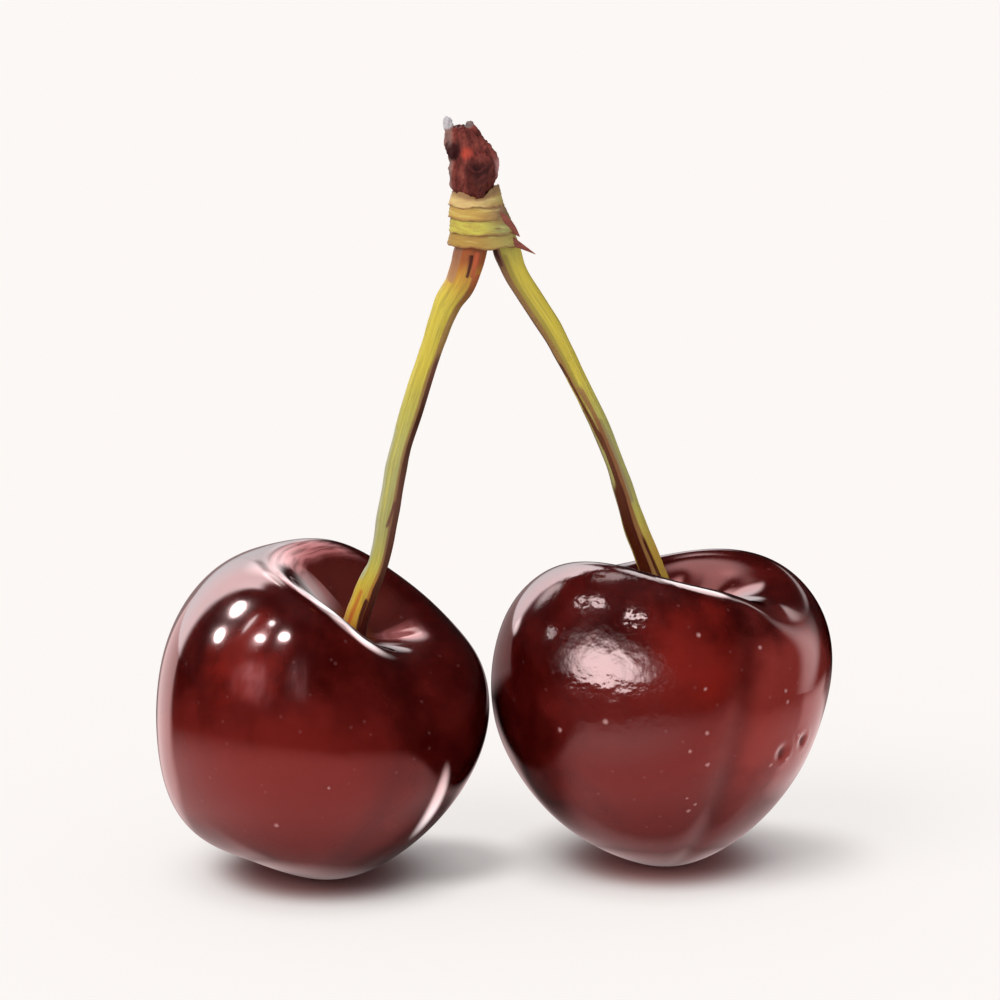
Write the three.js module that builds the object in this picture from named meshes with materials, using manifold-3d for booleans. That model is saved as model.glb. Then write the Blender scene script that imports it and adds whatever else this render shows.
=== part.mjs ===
// A pair of ripe sweet cherries on their stalks, still joined at the top by the woody
// tip of the fruiting spur and the bud scales round it. Millimetres, +Z up.
// The origin is on the ground, under the middle of the pair.

import * as THREE from 'three';
import { mergeVertices } from 'three/addons/utils/BufferGeometryUtils.js';
import Module from 'manifold-3d';

// ---------- driving dimensions ----------

const FOOT_PRESS = 0.35;        // how far each fruit flattens where it rests
const GAP = 0.3;                // clearance kept between neighbouring pieces

// A fruit is a drop with a stalk cavity at its top and a suture down one side.
// Angles are in degrees; spreads and positions on the shoulder are fractions of the radius.
// A swell is [azimuth from the suture, angle from the stalk end, height fraction, spread].
const LEFT_FRUIT = {
  centre: [-14.1, -1.3],
  sutureRadius: 13.4,
  cheekRadius: 12.93,
  shoulderHeight: 13.8,
  tipHeight: 14.2,
  shoulderTaper: 0.132,
  cavityDepth: 7.0,
  cavityWidth: 0.446,
  rimPlace: 0.62,
  rimWidth: 0.26,
  saddle: 0.93,
  saddleFacing: -2,
  lipDrop: 0.84,
  lipSpread: 45,
  sutureDepth: 0.12,
  sutureSpread: 11.5,
  sutureTwist: 0,
  sutureFacing: -62,
  lean: 24,
  leanToward: -24,
  swells: [
    [175, 25, 0.149, 20],
    [95, 35, -0.109, 22],
    [-30, 155, -0.07, 28],
    [30, 135, 0.029, 25],
    [-95, 140, 0.059, 25],
    [-50, 24, 0.162, 21],
  ],
};
const RIGHT_FRUIT = {
  centre: [13.43, 1.9],
  sutureRadius: 12.1,
  cheekRadius: 13.8,
  shoulderHeight: 15.4,
  tipHeight: 13.0,
  shoulderTaper: 0.22,
  cavityDepth: 5.4,
  cavityWidth: 0.457,
  rimPlace: 0.67,
  rimWidth: 0.31,
  saddle: 1.79,
  saddleFacing: 25,
  lipDrop: -1.04,
  lipSpread: 29,
  sutureDepth: 0.6,
  sutureSpread: 8,
  sutureTwist: 8,
  sutureFacing: -62.5,
  lean: 5,
  leanToward: 20,
  swells: [
    [-80, 160, -0.033, 25],
    [20, 160, 0.008, 22],
    [115, 15, -0.218, 25],
    [60, 90, -0.051, 28],
    [-120, 105, 0.029, 28],
    [-120, 30, 0.032, 24],
    [150, 60, -0.05, 30],
  ],
};
const HEIGHT_BLEND = 0.45;      // how softly the shoulder's height passes into the tip's
const CAVITY_FADE = 0.4;        // the cavity and its rim fade out by this height
const TWIST_CURL = 1.5;         // the suture's twist gathers near the stalk

// Stalks from the spur down into the cavity, as [x, y, z, radius].
const LEFT_STALK = [
  [-1.8, -0.3, 50.55, 1.25],
  [-2.56, -0.41, 48.1, 1.2],
  [-3.77, -0.54, 46.0, 1.05],
  [-4.91, -0.78, 42.8, 0.86],
  [-6.24, -1.15, 38.7, 0.9],
  [-7.51, -1.55, 34.4, 0.82],
  [-8.3, -1.95, 30.2, 0.86],
  [-9.03, -2.26, 26.3, 0.79],
  [-10.02, -2.43, 23.8, 0.92],
  [-10.86, -2.54, 21.4, 0.97],
  [-11.3, -2.55, 19.4, 1.15],
];
const RIGHT_STALK = [
  [0.85, 0.9, 50.5, 1.06],
  [1.88, 0.95, 47.9, 0.92],
  [4.32, 1.07, 44.0, 0.88],
  [6.29, 1.23, 40.1, 0.72],
  [8.19, 1.41, 36.1, 0.73],
  [9.71, 1.59, 32.1, 0.74],
  [10.93, 1.77, 28.1, 0.92],
  [12.25, 1.91, 24.6, 0.98],
  [12.95, 1.98, 22.8, 0.98],
  [13.75, 2.08, 20.8, 1.0],
  [14.05, 2.12, 19.4, 1.15],
];

// The spur stands on the stalk tops; its heights are above SPUR_BASE.
const SPUR_BASE = [-0.96, 0.3, 50.85];
const COLLAR_DEPTH_RATIO = 0.8;  // front-to-back size against width

// Overlapping bud scales, lowest first: [foot height, foot radius, head radius, sideways shift].
const SCALE_BANDS = [
  [0, 2.8, 2.25, 0],
  [1.35, 2.6, 2.0, 0.02],
  [2.45, 2.3, 1.8, -0.3],
  [3.45, 2.1, 1.65, -0.5],
];
const COLLAR_TOP = 4.2;
const SCALE_OVERLAP = 0.25;      // each scale's foot hangs this far over the one below

// Pointed scale tips on the collar's right side: [root], [point], root radius.
const SCALE_POINTS = [
  { root: [2.1, -0.2, 0.35], point: [4.15, -0.3, -0.8], radius: 0.4 },
  { root: [1.5, -0.5, 2.3], point: [2.9, -0.5, 0.75], radius: 0.5 },
];

// Centre line of the woody tip, as [x, y, z, radius].
const WOOD = [
  [-0.72, 0, 4.5, 1.9],
  [-0.8, 0, 5.15, 1.85],
  [-0.71, 0, 6.3, 2.05],
  [-0.9, 0, 6.95, 1.85],
  [-1.34, 0, 8.0, 1.6],
  [-1.67, 0, 8.8, 1.4],
  [-1.85, 0, 9.4, 1.1],
  [-1.8, 0, 9.7, 0.6],
];

// Buds and dry remains fused to the wood: centre, half sizes, turn about the view's depth axis.
const WOOD_LUMPS = [
  { at: [-0.2, -1.25, 6.05], half: [1.25, 0.95, 1.5], turn: 8 },
  { at: [-2.25, -0.75, 7.9], half: [0.6, 0.6, 0.75], turn: -10 },
  { at: [-2.62, 0, 9.75], half: [0.42, 0.34, 0.85], turn: -24 },
  { at: [-1.0, 0, 9.55], half: [0.35, 0.32, 0.32], turn: 0 },
];

// ---------- facets ----------

const FRUIT_SEGMENTS = 48;
const FRUIT_RINGS = 32;
const SUTURE_CROWDING = 0.35;   // facets draw together towards the suture
const CAVITY_CROWDING = 1.15;   // rings draw together towards the cavity
const STALK_SIDES = 12;
const STALK_STEPS = 36;
const WOOD_SIDES = 20;
const WOOD_STEPS = 16;
const COLLAR_SIDES = 32;
const LUMP_SEGMENTS = 14;
const LUMP_RINGS = 10;
const POINT_SIDES = 8;

const toRadians = THREE.MathUtils.degToRad;
const bell = (distance, spread) => Math.exp(-((distance / spread) ** 2));

// ---------- solids ----------

const wasm = await Module();
wasm.setup();

function solidOf(geometry) {
  const bare = geometry.clone();
  for (const name of ['normal', 'uv']) bare.deleteAttribute(name);
  const merged = mergeVertices(bare, 1e-5);
  return new wasm.Manifold(new wasm.Mesh({
    numProp: 3,
    vertProperties: new Float32Array(merged.attributes.position.array),
    triVerts: new Uint32Array(merged.index.array),
  }));
}

function geometryOf(solid) {
  const mesh = solid.getMesh();
  const geometry = new THREE.BufferGeometry();
  geometry.setAttribute('position', new THREE.BufferAttribute(mesh.vertProperties, 3));
  geometry.setIndex(new THREE.BufferAttribute(mesh.triVerts, 1));
  return geometry;
}

function moveVertices(geometry, place) {
  const position = geometry.attributes.position;
  const point = new THREE.Vector3();
  for (let i = 0; i < position.count; i += 1) {
    point.fromBufferAttribute(position, i);
    place(point);
    position.setXYZ(i, point.x, point.y, point.z);
  }
  return geometry;
}

// ---------- fruit ----------

// Angle from the suture line, which may wind round the fruit as it climbs.
function angleFromSuture(fruit, azimuth, rise) {
  const turned = azimuth - toRadians(fruit.sutureTwist) * Math.max(rise, 0) ** TWIST_CURL;
  return Math.atan2(Math.sin(turned), Math.cos(turned));
}

function directionOf(azimuth, polar) {
  const reach = Math.sin(polar);
  return new THREE.Vector3(reach * Math.cos(azimuth), reach * Math.sin(azimuth), Math.cos(polar));
}

function swelling(fruit, direction) {
  let factor = 1;
  for (const [azimuth, polar, height, spread] of fruit.swells) {
    const middle = directionOf(toRadians(azimuth), toRadians(polar));
    const apart = (1 - direction.dot(middle)) / (1 - Math.cos(toRadians(spread)));
    factor += height * Math.exp(-apart);
  }
  return factor;
}

// A point of the fruit's skin in the fruit's own frame: +Z out of the cavity, +X to the suture.
function skinPoint(fruit, polar, azimuth) {
  const reach = Math.sin(polar);
  const rise = Math.cos(polar);
  const swell = swelling(fruit, directionOf(azimuth, polar));
  const fromSuture = angleFromSuture(fruit, azimuth, rise);
  const taper = 1 + fruit.shoulderTaper * rise;
  const groove = fruit.sutureDepth * bell(fromSuture, toRadians(fruit.sutureSpread)) * reach;
  const shoulderShare = THREE.MathUtils.smoothstep(rise, -HEIGHT_BLEND, HEIGHT_BLEND);
  const height = THREE.MathUtils.lerp(fruit.tipHeight, fruit.shoulderHeight, shoulderShare);
  const lip = fruit.lipDrop * bell(fromSuture, toRadians(fruit.lipSpread));
  const saddle = fruit.saddle * Math.cos(2 * (fromSuture - toRadians(fruit.saddleFacing)));
  const cavity = fruit.cavityDepth * bell(reach, fruit.cavityWidth);
  const rim = (lip + saddle) * bell(reach - fruit.rimPlace, fruit.rimWidth);
  const z = height * rise * swell - (cavity + rim) * THREE.MathUtils.smoothstep(rise, 0, CAVITY_FADE);
  return new THREE.Vector3(
    (fruit.sutureRadius * taper * swell - groove) * reach * Math.cos(azimuth),
    (fruit.cheekRadius * taper * swell - groove) * reach * Math.sin(azimuth),
    z,
  );
}

function fruitTurn(fruit) {
  const toward = toRadians(fruit.leanToward);
  const leanAxis = new THREE.Vector3(-Math.sin(toward), Math.cos(toward), 0);
  const lean = new THREE.Matrix4().makeRotationAxis(leanAxis, toRadians(fruit.lean));
  return lean.multiply(new THREE.Matrix4().makeRotationZ(toRadians(fruit.sutureFacing)));
}

// The whole fruit, leaning, with its lowest point pressed just below the ground.
function fruitForm(fruit) {
  const geometry = new THREE.SphereGeometry(1, FRUIT_SEGMENTS, FRUIT_RINGS);
  geometry.rotateX(Math.PI / 2);
  moveVertices(geometry, (point) => {
    const even = Math.acos(THREE.MathUtils.clamp(point.z, -1, 1)) / Math.PI;
    const round = Math.atan2(point.y, point.x);
    const polar = Math.PI * even ** CAVITY_CROWDING;
    const azimuth = round - SUTURE_CROWDING * Math.sin(round);
    point.copy(skinPoint(fruit, polar, azimuth));
  });
  geometry.applyMatrix4(fruitTurn(fruit));
  geometry.computeBoundingBox();
  geometry.translate(0, 0, -geometry.boundingBox.min.z - FOOT_PRESS);
  return geometry;
}

// ---------- stalks and wood: a round bar bent along a line ----------

function bentBar(stations, sides, steps, extraRadius = 0, extraLength = 0) {
  const centres = stations.map(([x, y, z]) => new THREE.Vector3(x, y, z));
  if (extraLength > 0) {
    const last = centres.at(-1);
    const before = centres.at(-2);
    const onward = last.clone().sub(before).setLength(extraLength);
    last.add(onward);
  }
  const line = new THREE.CatmullRomCurve3(centres, false, 'centripetal');
  const frames = line.computeFrenetFrames(steps, false);
  const radii = stations.map((station) => station[3]);
  const radiusAt = (t) => {
    const place = t * (radii.length - 1);
    const below = Math.min(Math.floor(place), radii.length - 2);
    return THREE.MathUtils.lerp(radii[below], radii[below + 1], place - below);
  };
  const geometry = new THREE.CylinderGeometry(1, 1, 1, sides, steps);
  return moveVertices(geometry, (point) => {
    const step = Math.round((0.5 - point.y) * steps);
    const share = step / steps;
    const centre = line.getPointAt(share);
    const radius = radiusAt(line.getUtoTmapping(share)) + extraRadius;
    const across = frames.normals[step].clone().multiplyScalar(point.x * radius);
    const beside = frames.binormals[step].clone().multiplyScalar(point.z * radius);
    point.copy(centre).add(across).add(beside);
  });
}

const stalkForm = (stations) => bentBar(stations, STALK_SIDES, STALK_STEPS);

// The stalk's foot, a little larger all round, cuts its socket in the floor of the cavity.
const socketForm = (stations) => bentBar(stations, STALK_SIDES, STALK_STEPS, GAP, GAP);

// ---------- bud scales and wood ----------

function collarForm() {
  const profile = [new THREE.Vector2(0, 0)];
  SCALE_BANDS.forEach(([foot, footRadius, headRadius], index) => {
    const next = SCALE_BANDS[index + 1];
    const head = next ? next[0] : COLLAR_TOP;
    profile.push(new THREE.Vector2(footRadius, index === 0 ? foot : foot - SCALE_OVERLAP));
    profile.push(new THREE.Vector2((footRadius + headRadius) / 2, (foot + head) / 2));
    profile.push(new THREE.Vector2(headRadius, head));
  });
  profile.push(new THREE.Vector2(0, COLLAR_TOP));
  const geometry = new THREE.LatheGeometry(profile, COLLAR_SIDES);
  geometry.rotateX(Math.PI / 2);
  const shiftAt = (height) => {
    const above = SCALE_BANDS.findIndex(([foot]) => foot > height);
    if (above < 1) return SCALE_BANDS.at(above)[3];
    const [lowFoot, , , lowShift] = SCALE_BANDS[above - 1];
    const [highFoot, , , highShift] = SCALE_BANDS[above];
    return THREE.MathUtils.lerp(lowShift, highShift, (height - lowFoot) / (highFoot - lowFoot));
  };
  moveVertices(geometry, (point) => {
    point.set(point.x + shiftAt(point.z), point.y * COLLAR_DEPTH_RATIO, point.z);
  });
  return geometry;
}

function pointForm({ root, point, radius }) {
  const from = new THREE.Vector3(...root);
  const to = new THREE.Vector3(...point);
  const along = to.clone().sub(from);
  const geometry = new THREE.ConeGeometry(radius, along.length(), POINT_SIDES);
  geometry.translate(0, along.length() / 2, 0);
  const turn = new THREE.Quaternion().setFromUnitVectors(new THREE.Vector3(0, 1, 0), along.normalize());
  geometry.applyQuaternion(turn);
  geometry.translate(from.x, from.y, from.z);
  return geometry;
}

function lumpForm({ at, half, turn }) {
  const geometry = new THREE.SphereGeometry(1, LUMP_SEGMENTS, LUMP_RINGS);
  geometry.scale(...half);
  geometry.rotateY(toRadians(turn));
  geometry.translate(...at);
  return geometry;
}

// ---------- assembly ----------

function material(colour, roughness) {
  return new THREE.MeshStandardMaterial({ color: colour, roughness, metalness: 0 });
}

function piece(name, solid, finish) {
  const mesh = new THREE.Mesh(geometryOf(solid), finish);
  mesh.name = name;
  return mesh;
}

// Rests on the ground on a small flat spot, with a socket for its stalk.
function fruitPiece(name, fruit, stations, finish) {
  const [x, y] = fruit.centre;
  const ground = new THREE.BoxGeometry(60, 60, 10);
  ground.translate(0, 0, -5);
  const socket = socketForm(stations).translate(-x, -y, 0);
  const whole = solidOf(fruitForm(fruit)).subtract(solidOf(ground)).subtract(solidOf(socket));
  const mesh = piece(name, whole, finish);
  mesh.position.set(x, y, 0);
  return mesh;
}

const skin = material('#5c0a0c', 0.15);
const stalkGreen = material('#b3a63a', 0.55);
const scaleTan = material('#b8943f', 0.6);
const bark = material('#6b2420', 0.6);

const group = new THREE.Group();
group.name = 'cherries_on_stalks';
group.add(fruitPiece('cherry_left', LEFT_FRUIT, LEFT_STALK, skin));
group.add(fruitPiece('cherry_right', RIGHT_FRUIT, RIGHT_STALK, skin));
group.add(piece('stalk_left', solidOf(stalkForm(LEFT_STALK)), stalkGreen));
group.add(piece('stalk_right', solidOf(stalkForm(RIGHT_STALK)), stalkGreen));

const spur = new THREE.Group();
spur.position.set(...SPUR_BASE);
const collar = SCALE_POINTS.reduce((whole, tip) => whole.add(solidOf(pointForm(tip))), solidOf(collarForm()));
spur.add(piece('bud_scale_collar', collar, scaleTan));
const woodBar = solidOf(bentBar(WOOD, WOOD_SIDES, WOOD_STEPS));
const wood = WOOD_LUMPS.reduce((whole, lump) => whole.add(solidOf(lumpForm(lump))), woodBar);
spur.add(piece('spur_wood', wood, bark));
group.add(spur);

export default group;
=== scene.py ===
import math

import bmesh
import bpy
from mathutils import Matrix, Vector, noise


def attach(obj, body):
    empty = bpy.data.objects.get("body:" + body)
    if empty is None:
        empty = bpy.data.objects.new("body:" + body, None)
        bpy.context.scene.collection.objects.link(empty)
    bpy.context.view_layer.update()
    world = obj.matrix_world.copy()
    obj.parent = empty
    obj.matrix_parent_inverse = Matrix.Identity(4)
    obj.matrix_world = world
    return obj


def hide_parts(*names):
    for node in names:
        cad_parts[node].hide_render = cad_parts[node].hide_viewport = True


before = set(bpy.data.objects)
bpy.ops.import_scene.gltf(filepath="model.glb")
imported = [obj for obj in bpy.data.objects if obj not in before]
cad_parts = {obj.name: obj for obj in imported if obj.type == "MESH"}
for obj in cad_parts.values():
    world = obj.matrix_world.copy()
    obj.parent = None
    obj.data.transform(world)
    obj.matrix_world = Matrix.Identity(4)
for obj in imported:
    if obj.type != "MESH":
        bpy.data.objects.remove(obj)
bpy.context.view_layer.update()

# ---- The camera ----
# A long lens close to the table, looking a little down on the pair from the front, so that
# the stalk cavities just open towards the viewer.

MM = 0.001
VIEW_DOWN = math.radians(15)
VIEW_DISTANCE = 450 * MM
VIEW_WIDTH = 78.8 * MM
VIEW_TARGET = Vector((0.4, 0.3, 30.2)) * MM

camera_data = bpy.data.cameras.new("camera")
camera = bpy.data.objects.new("camera", camera_data)
bpy.context.scene.collection.objects.link(camera)
bpy.context.scene.camera = camera
view_line = Vector((0, math.cos(VIEW_DOWN), -math.sin(VIEW_DOWN)))
camera.location = VIEW_TARGET - view_line * VIEW_DISTANCE
camera.rotation_euler = view_line.to_track_quat("-Z", "Y").to_euler()
camera_data.sensor_width = 36
camera_data.lens = camera_data.sensor_width * VIEW_DISTANCE / VIEW_WIDTH
camera_data.clip_start = 0.01

# ---- The fruits ----
# Two ripe sweet cherries: firm flesh in a thin, taut, glossy dark red skin. Each grew as one
# piece, with a cavity where the stalk enters and a suture that runs from it down to the tip.

FRUIT_SEGMENTS = 288
FRUIT_RINGS = 184
SUTURE_CROWDING = 0.35
CAVITY_CROWDING = 1.15
SUTURE_LINE_WIDTH = math.radians(5)
FOOT_PRESS = 0.35
HEIGHT_BLEND = 0.45
CAVITY_FADE = 0.4
TWIST_CURL = 1.5

# Lengths are in millimetres and angles in degrees. A swell is (azimuth from the suture, polar
# angle from the cavity, height as a share, spread); a pit is (azimuth, polar, radius, depth).
LEFT_FRUIT = {
    "centre": (-14.1, -1.3),
    "suture_radius": 13.4,
    "cheek_radius": 12.93,
    "shoulder_height": 13.8,
    "tip_height": 14.2,
    "shoulder_taper": 0.132,
    "cavity_depth": 7.0,
    "cavity_width": 0.446,
    "rim_place": 0.62,
    "rim_width": 0.26,
    "saddle": 0.93,
    "saddle_facing": -2,
    "lip_drop": 0.84,
    "lip_spread": 45,
    "suture_depth": 0.12,
    "suture_spread": 11.5,
    "suture_twist": 0,
    "suture_facing": -62,
    "suture_tone": 0.3,
    "lean": 24,
    "lean_toward": -24,
    "swells": [
        (175, 25, 0.149, 20),
        (95, 35, -0.109, 22),
        (-30, 155, -0.07, 28),
        (30, 135, 0.029, 25),
        (-95, 140, 0.059, 25),
        (-50, 24, 0.162, 21),
    ],
    "pits": [],
}
RIGHT_FRUIT = {
    "centre": (13.43, 1.9),
    "suture_radius": 12.1,
    "cheek_radius": 13.8,
    "shoulder_height": 15.4,
    "tip_height": 13.0,
    "shoulder_taper": 0.22,
    "cavity_depth": 5.4,
    "cavity_width": 0.457,
    "rim_place": 0.67,
    "rim_width": 0.31,
    "saddle": 1.79,
    "saddle_facing": 25,
    "lip_drop": -1.04,
    "lip_spread": 29,
    "suture_depth": 0.6,
    "suture_spread": 8,
    "suture_twist": 8,
    "suture_facing": -62.5,
    "suture_tone": 0.5,
    "lean": 5,
    "lean_toward": 20,
    "swells": [
        (-80, 160, -0.033, 25),
        (20, 160, 0.008, 22),
        (115, 15, -0.218, 25),
        (60, 90, -0.051, 28),
        (-120, 105, 0.029, 28),
        (-120, 30, 0.032, 24),
        (150, 60, -0.05, 30),
    ],
    "pits": [(20, 93, 2.6, 0.28), (31, 90.5, 2.2, 0.24)],
}
PLEAT_DEPTH = 0.09
PLEAT_COUNT = 3.2
PLEAT_RING = 0.3
PLEAT_RING_WIDTH = 0.13
SKIN_WAVER = 0.025
SKIN_WAVES = 2.6
PIT_RIM = 0.18


def bell(distance, spread):
    return math.exp(-((distance / spread) ** 2))


def smooth_step(value, low, high):
    share = min(1, max(0, (value - low) / (high - low)))
    return share * share * (3 - 2 * share)


def direction_of(azimuth, polar):
    reach = math.sin(polar)
    return Vector((reach * math.cos(azimuth), reach * math.sin(azimuth), math.cos(polar)))


def angle_from_suture(fruit, azimuth, rise):
    turned = azimuth - math.radians(fruit["suture_twist"]) * max(rise, 0) ** TWIST_CURL
    return math.atan2(math.sin(turned), math.cos(turned))


def skin_point(fruit, polar, azimuth):
    """A point of the skin in millimetres, in the fruit's own frame: +Z out of the cavity."""
    reach, rise = math.sin(polar), math.cos(polar)
    direction = direction_of(azimuth, polar)
    swell = 1
    for side, tilt, height, spread in fruit["swells"]:
        apart = 1 - direction.dot(direction_of(math.radians(side), math.radians(tilt)))
        swell += height * math.exp(-apart / (1 - math.cos(math.radians(spread))))
    aside = angle_from_suture(fruit, azimuth, rise)
    taper = 1 + fruit["shoulder_taper"] * rise
    groove = fruit["suture_depth"] * bell(aside, math.radians(fruit["suture_spread"])) * reach
    shoulder_share = smooth_step(rise, -HEIGHT_BLEND, HEIGHT_BLEND)
    height = fruit["tip_height"]
    height += (fruit["shoulder_height"] - height) * shoulder_share
    lip = fruit["lip_drop"] * bell(aside, math.radians(fruit["lip_spread"]))
    saddle = fruit["saddle"] * math.cos(2 * (aside - math.radians(fruit["saddle_facing"])))
    cavity = fruit["cavity_depth"] * bell(reach, fruit["cavity_width"])
    cavity += (lip + saddle) * bell(reach - fruit["rim_place"], fruit["rim_width"])
    round_cavity = Vector((math.cos(azimuth), math.sin(azimuth), 0)) * PLEAT_COUNT
    pleats = noise.noise(round_cavity + Vector((0, 0, fruit["lean"])))
    cavity += PLEAT_DEPTH * pleats * bell(reach - PLEAT_RING, PLEAT_RING_WIDTH)
    sink = SKIN_WAVER * noise.noise(direction * SKIN_WAVES)
    for side, tilt, radius, depth in fruit["pits"]:
        pit = direction_of(math.radians(side), math.radians(tilt))
        apart = math.degrees(direction.angle(pit, 0))
        sink += depth * (bell(apart, radius) - PIT_RIM * bell(apart - 1.7 * radius, 0.6 * radius))
    x = (fruit["suture_radius"] * taper * swell - groove) * reach * math.cos(azimuth)
    y = (fruit["cheek_radius"] * taper * swell - groove) * reach * math.sin(azimuth)
    z = height * rise * swell - cavity * smooth_step(rise, 0, CAVITY_FADE)
    return Vector((x, y, z)) - direction * sink


def stand_fruit(fruit):
    """Sets how the fruit's own frame is turned and moved so that it rests on the table."""
    toward = math.radians(fruit["lean_toward"])
    lean_axis = Vector((-math.sin(toward), math.cos(toward), 0))
    lean = Matrix.Rotation(math.radians(fruit["lean"]), 3, lean_axis)
    fruit["turn"] = lean @ Matrix.Rotation(math.radians(fruit["suture_facing"]), 3, "Z")
    lowest = min(
        (fruit["turn"] @ skin_point(fruit, math.radians(polar), math.radians(azimuth))).z
        for polar in range(120, 181, 2)
        for azimuth in range(0, 360, 5)
    )
    x, y = fruit["centre"]
    fruit["move"] = Vector((x, y, -lowest - FOOT_PRESS))


def skin_place(fruit, polar, azimuth):
    """A point of the standing fruit's skin in metres."""
    place = fruit["turn"] @ skin_point(fruit, polar, azimuth) + fruit["move"]
    return Vector((place.x, place.y, max(place.z, 0))) * MM


def finish_piece(bm, name, material):
    """Makes the piece's smooth object and lets it ride with the part."""
    mesh = bpy.data.meshes.new(name)
    bm.to_mesh(mesh)
    bm.free()
    mesh.shade_smooth()
    mesh.materials.append(material)
    piece = bpy.data.objects.new(name, mesh)
    bpy.context.scene.collection.objects.link(piece)
    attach(piece, "root")
    return piece


def fruit_mesh(fruit):
    stand_fruit(fruit)
    bm = bmesh.new()
    bmesh.ops.create_uvsphere(bm, u_segments=FRUIT_SEGMENTS, v_segments=FRUIT_RINGS, radius=1)
    stalk_end = bm.verts.layers.float.new("stalk_end")
    suture = bm.verts.layers.float.new("suture")
    for vert in bm.verts:
        even = math.acos(max(-1, min(1, vert.co.z))) / math.pi
        round_angle = math.atan2(vert.co.y, vert.co.x)
        polar = math.pi * even**CAVITY_CROWDING
        azimuth = round_angle - SUTURE_CROWDING * math.sin(round_angle)
        rise = math.cos(polar)
        vert[stalk_end] = rise
        vert[suture] = bell(angle_from_suture(fruit, azimuth, rise), SUTURE_LINE_WIDTH)
        vert.co = skin_place(fruit, polar, azimuth)
    return bm


class Nodes:
    """A node tree, with short calls that add nodes and join them."""

    def __init__(self, owner):
        owner.use_nodes = True
        self.tree = owner.node_tree
        self.place = self.add("TexCoord").outputs["Object"]

    def node(self, name):
        return self.tree.nodes[name]

    def add(self, kind, sockets=(), **settings):
        node = self.tree.nodes.new("ShaderNode" + kind)
        for key, value in settings.items():
            setattr(node, key, value)
        for socket, value in dict(sockets).items():
            self.feed(node.inputs[socket], value)
        return node

    def feed(self, socket, value):
        if isinstance(value, bpy.types.NodeSocket):
            self.tree.links.new(value, socket)
        else:
            socket.default_value = value

    def set(self, shader, **values):
        """Sets a shader's sockets; an underscore in a name stands for a space."""
        for name, value in values.items():
            self.feed(shader.inputs[name.replace("_", " ")], value)

    def math(self, operation, *values):
        return self.add("Math", dict(enumerate(values)), operation=operation).outputs[0]

    def fold(self, operation, result, *others):
        for value in others:
            result = self.math(operation, result, value)
        return result

    def times(self, *values):
        return self.fold("MULTIPLY", *values)

    def most(self, *values):
        return self.fold("MAXIMUM", *values)

    def vector(self, operation, *values, output=0):
        node = self.add("VectorMath", dict(enumerate(values)), operation=operation)
        return node.outputs[output]

    def span(self, value, low, high, start=0.0, end=1.0):
        """Carries value from low..high softly to start..end."""
        sockets = {0: value, 1: low, 2: high, 3: start, 4: end}
        return self.add("MapRange", sockets, interpolation_type="SMOOTHSTEP").outputs[0]

    def between(self, value, low, high, edge):
        rising = self.span(value, low - edge, low + edge)
        return self.times(rising, self.span(value, high - edge, high + edge, 1, 0))

    def warped(self, scale, reach):
        """The place, carried about by noise by up to reach millimetres."""
        drift = self.add("TexNoise", {"Vector": self.place, "Scale": scale, "Detail": 3}).outputs["Color"]
        drift = self.vector("SUBTRACT", drift, (0.5, 0.5, 0.5))
        return self.vector("MULTIPLY_ADD", drift, (2 * reach * MM,) * 3, self.place)

    def near(self, place, inner, outer, peak=1.0, where=None):
        """Peak within inner millimetres of a place in metres, fading to none at outer."""
        gap = self.vector("DISTANCE", self.place if where is None else where, place, output=1)
        return self.span(gap, inner * MM, outer * MM, peak, 0)

    def blend(self, factor, first, second):
        node = self.add("Mix", {0: factor}, data_type="RGBA")
        for socket, colour in ((6, first), (7, second)):
            is_link = isinstance(colour, bpy.types.NodeSocket)
            self.feed(node.inputs[socket], colour if is_link else (*colour, 1))
        return node.outputs[2]

    def noise(self, scale, detail=2.0, roughness=0.5, where=None):
        where = self.place if where is None else where
        sockets = {"Vector": where, "Scale": scale, "Detail": detail, "Roughness": roughness}
        return self.add("TexNoise", sockets).outputs["Fac"]

    def attribute(self, name, output="Fac"):
        return self.add("Attribute", attribute_name=name).outputs[output]

    def ramp(self, factor, stops):
        node = self.add("ValToRGB", {0: factor})
        elements = node.color_ramp.elements
        while len(elements) < len(stops):
            elements.new(0.5)
        for element, (place, colour) in zip(elements, stops):
            element.position = place
            element.color = (*colour, 1)
        return node.outputs[0]

    def bump(self, height, distance, strength=1.0, under=None):
        sockets = {"Height": height, "Distance": distance, "Strength": strength}
        if under is not None:
            sockets["Normal"] = under
        return self.add("Bump", sockets).outputs["Normal"]


DARK_SKIN = (0.036, 0.0013, 0.001)
CLOUDED_SKIN = (0.08, 0.005, 0.004)
BRICK_SKIN = (0.17, 0.014, 0.011)
FLUSHED_SKIN = (0.27, 0.034, 0.028)
BRIGHT_SKIN = (0.24, 0.014, 0.009)
CAVITY_SHEEN = (0.13, 0.022, 0.018)
STALK_STAIN = (0.25, 0.055, 0.012)
SUTURE_SKIN = (0.022, 0.001, 0.001)
PALE_SPECK = (0.62, 0.34, 0.33)
SKIN_PEEL = 0.03
SKIN_TINT = (1, 0.10, 0.08)
PALE_TINT = (1, 0.75, 0.75)


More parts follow.
